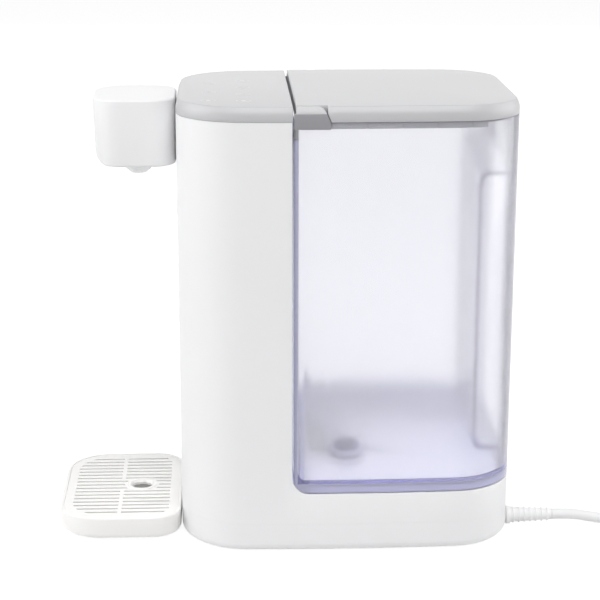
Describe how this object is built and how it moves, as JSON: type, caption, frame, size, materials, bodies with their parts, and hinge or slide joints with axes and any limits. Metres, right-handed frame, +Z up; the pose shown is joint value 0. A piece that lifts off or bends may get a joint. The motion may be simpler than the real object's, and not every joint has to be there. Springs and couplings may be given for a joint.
{
  "type": "instant hot water dispenser",
  "caption": "Countertop instant hot water dispenser: white column with a spout over a drip tray, lift-off clear water tank behind it with a grey flip lid.",
  "frame": {"origin": "centre of the footprint on the table, without the mains lead", "axes": "+X from the spout and tray to the rear, +Y across the machine, +Z up"},
  "size_m": [0.4501, 0.1555, 0.2614],
  "materials": {
    "white_plastic": "satin white",
    "grey_plastic": "light grey, fine satin",
    "pale_plastic": "pale, satin",
    "dark_plastic": "dark grey",
    "clear_plastic": "clear with a faint violet tint",
    "silicone": "milky",
    "black_rubber": "matt",
    "plain_steel": "plain",
    "yellow_metal": "plain",
    "circuit_board": "green solder mask",
    "lead_jacket": "white, smooth"
  },
  "bodies": {
    "machine": {"base_cover": "white_plastic", "base_magnet_1": "plain_steel", "base_magnet_2": "plain_steel", "base_screw_1": "plain_steel", "base_screw_2": "plain_steel", "base_screw_3": "plain_steel", "base_screw_4": "plain_steel", "coil_tie": "dark_plastic", "cord_coil": "lead_jacket", "coupling_seal": "black_rubber", "foot_1": "black_rubber", "foot_2": "black_rubber", "foot_3": "black_rubber", "foot_4": "black_rubber", "heater": "plain_steel", "heater_bracket": "plain_steel", "heater_cap_bottom": "dark_plastic", "heater_cap_top": "dark_plastic", "housing": "white_plastic", "inlet_tube": "silicone", "mains_cord": "lead_jacket", "nozzle": "pale_plastic", "outlet_sensor": "yellow_metal", "plug_body": "lead_jacket", "plug_pin_1": "yellow_metal", "plug_pin_2": "yellow_metal", "plug_pin_3": "yellow_metal", "power_board": "circuit_board", "pump_head": "dark_plastic", "pump_motor": "plain_steel", "pump_mount": "black_rubber", "pump_tube": "silicone", "reed_switch": "dark_plastic", "spout_cover": "white_plastic", "spout_housing": "white_plastic", "spout_tube": "silicone", "strain_relief": "lead_jacket", "tank_coupling": "pale_plastic", "thermal_cutout_1": "dark_plastic", "thermal_cutout_2": "dark_plastic", "top_cap": "grey_plastic", "touch_board": "circuit_board"},
    "tank": {"tank": "clear_plastic", "tank_collar": "grey_plastic", "valve_housing": "pale_plastic", "strainer": "dark_plastic", "valve_spring": "plain_steel", "tank_magnet": "plain_steel"},
    "lid": {"lid": "grey_plastic", "lid_seal": "silicone", "lid_pin_near": "plain_steel", "lid_pin_far": "plain_steel"},
    "tray": {"drip_tray": "white_plastic", "tray_magnet_1": "plain_steel", "tray_magnet_2": "plain_steel"},
    "grille": {"drip_grille": "white_plastic"},
    "valve_plunger": {"valve_plunger": "dark_plastic"},
    "pump_rotor": {"pump_rotor": "yellow_metal"}
  },
  "joints": [
    {"name": "tank_lift", "type": "slide", "parent": "machine", "child": "tank", "axis": [0, 0, 1], "range_m": [0, 0.23]},
    {"name": "lid_hinge", "type": "hinge", "parent": "tank", "child": "lid", "pos_m": [0.01695, 0, 0.254], "axis": [0, -1, 0], "range_deg": [0, 80]},
    {"name": "tray_pull", "type": "slide", "parent": "machine", "child": "tray", "axis": [-1, 0, 0], "range_m": [0, 0.09]},
    {"name": "grille_lift", "type": "slide", "parent": "tray", "child": "grille", "axis": [0, 0, 1], "range_m": [0, 0.04]},
    {"name": "valve_travel", "type": "slide", "parent": "tank", "child": "valve_plunger", "axis": [0, 0, 1], "range_m": [0, 0.0035], "stiffness_N_per_m": 120, "springref_m": -0.004, "deforming": ["valve_spring"]},
    {"name": "pump_spin", "type": "hinge", "parent": "machine", "child": "pump_rotor", "pos_m": [0.0519, 0.024, 0.0185], "axis": [1, 0, 0], "continuous": true}
  ]
}
